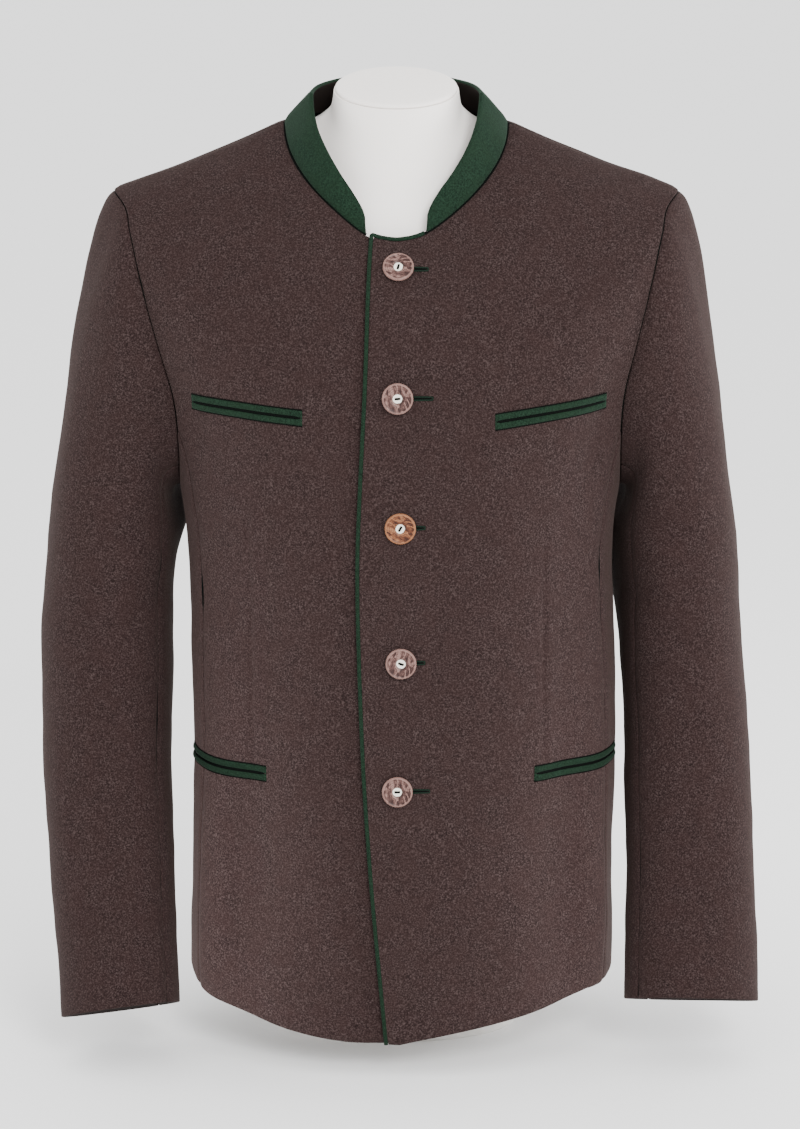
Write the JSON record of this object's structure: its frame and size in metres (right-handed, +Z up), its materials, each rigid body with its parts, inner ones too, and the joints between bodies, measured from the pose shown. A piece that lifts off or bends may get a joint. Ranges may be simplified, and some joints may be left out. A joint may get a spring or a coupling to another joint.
{
  "type": "trachten coat on a limbless dress form",
  "caption": "Buttoned wool jacket with a stand collar, piped front edge and double-welt pockets, worn on a limbless dress form with an oval foot.",
  "frame": {"origin": "centre of the underside of the dress form's oval foot, on the floor", "axes": "+Z up, -Y towards the coat's front, +X towards the wearer's left"},
  "size_m": [0.606, 0.2797, 0.822],
  "materials": {
    "brown_wool": "fulled wool, brown melange, slightly felted",
    "green_wool": "fulled wool, dark green",
    "horn": "polished mottled horn, pinkish brown",
    "cream_jersey": "smooth cream jersey cover",
    "foot_enamel": "pale satin enamel"
  },
  "bodies": {
    "root": {"front_left": "brown_wool", "front_right": "brown_wool", "side_left": "brown_wool", "side_right": "brown_wool", "back_left": "brown_wool", "back_right": "brown_wool", "top_sleeve_left": "brown_wool", "top_sleeve_right": "brown_wool", "under_sleeve_left": "brown_wool", "under_sleeve_right": "brown_wool", "collar": "green_wool", "front_piping": "green_wool", "chest_pocket_upper_left": "green_wool", "chest_pocket_lower_left": "green_wool", "chest_pocket_upper_right": "green_wool", "chest_pocket_lower_right": "green_wool", "hip_pocket_upper_left": "green_wool", "hip_pocket_lower_left": "green_wool", "hip_pocket_upper_right": "green_wool", "hip_pocket_lower_right": "green_wool", "button_1": "horn", "button_2": "horn", "button_3": "horn", "button_4": "horn", "button_5": "horn", "form_torso": "cream_jersey", "form_neck_cap": "cream_jersey", "form_foot": "foot_enamel"}
  },
  "joints": []
}
